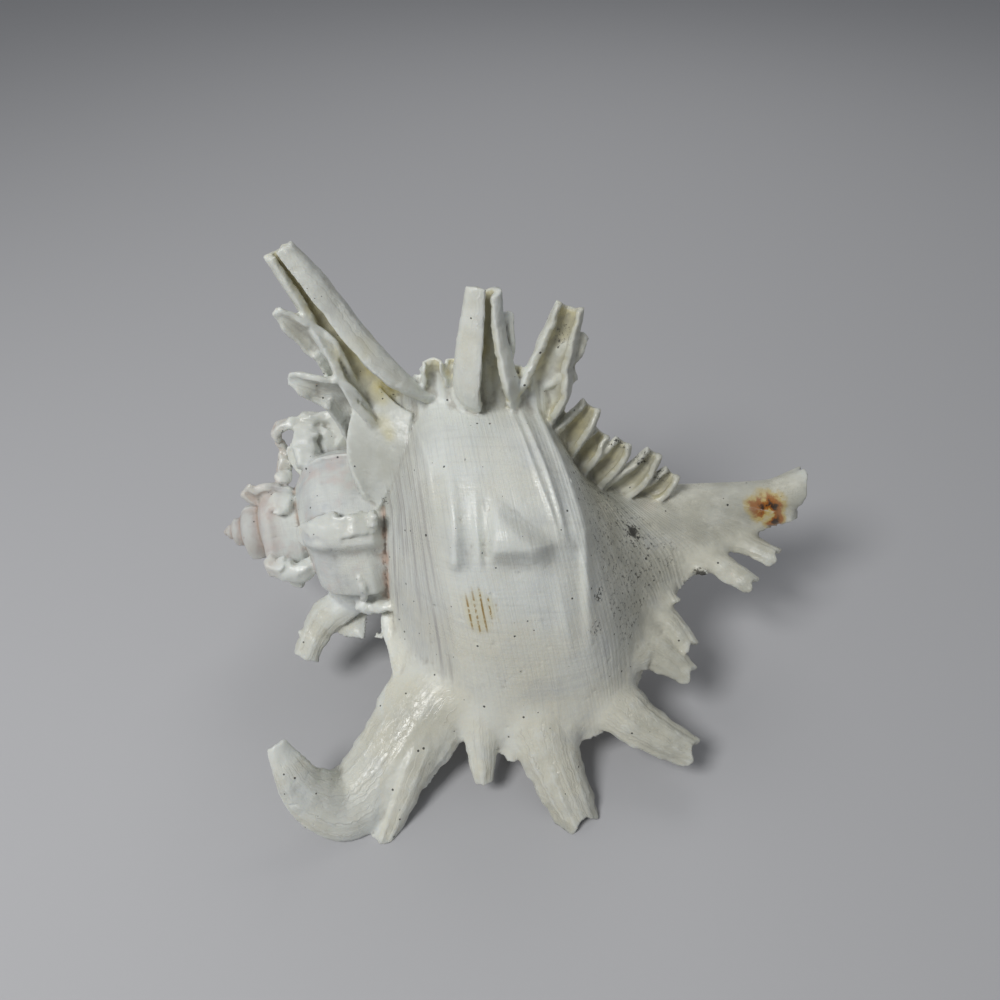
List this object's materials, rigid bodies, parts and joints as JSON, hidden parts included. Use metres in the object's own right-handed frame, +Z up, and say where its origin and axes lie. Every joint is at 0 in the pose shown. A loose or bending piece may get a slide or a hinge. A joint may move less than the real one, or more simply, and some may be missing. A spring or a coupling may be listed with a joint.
{
  "type": "ramose murex shell",
  "caption": "Bleached ramose murex shell lying on its mouth, with branching spines on its varices, a knobbed spire and a siphonal canal.",
  "frame": {"origin": "middle of the bounding box's underside, on the surface that the spine tips rest on", "axes": "+X along the coiling axis from the apex to the tip of the siphonal canal, +Z up, -Y towards the lip that the picture's viewer looks down on"},
  "size_m": [0.1942, 0.137, 0.1444],
  "materials": {
    "bleached_shell": "dry, sun-bleached shell with a faint satin sheen, cream in the open spines and pink-brown in the sutures"
  },
  "bodies": {
    "root": {"shell": "bleached_shell"}
  },
  "joints": []
}
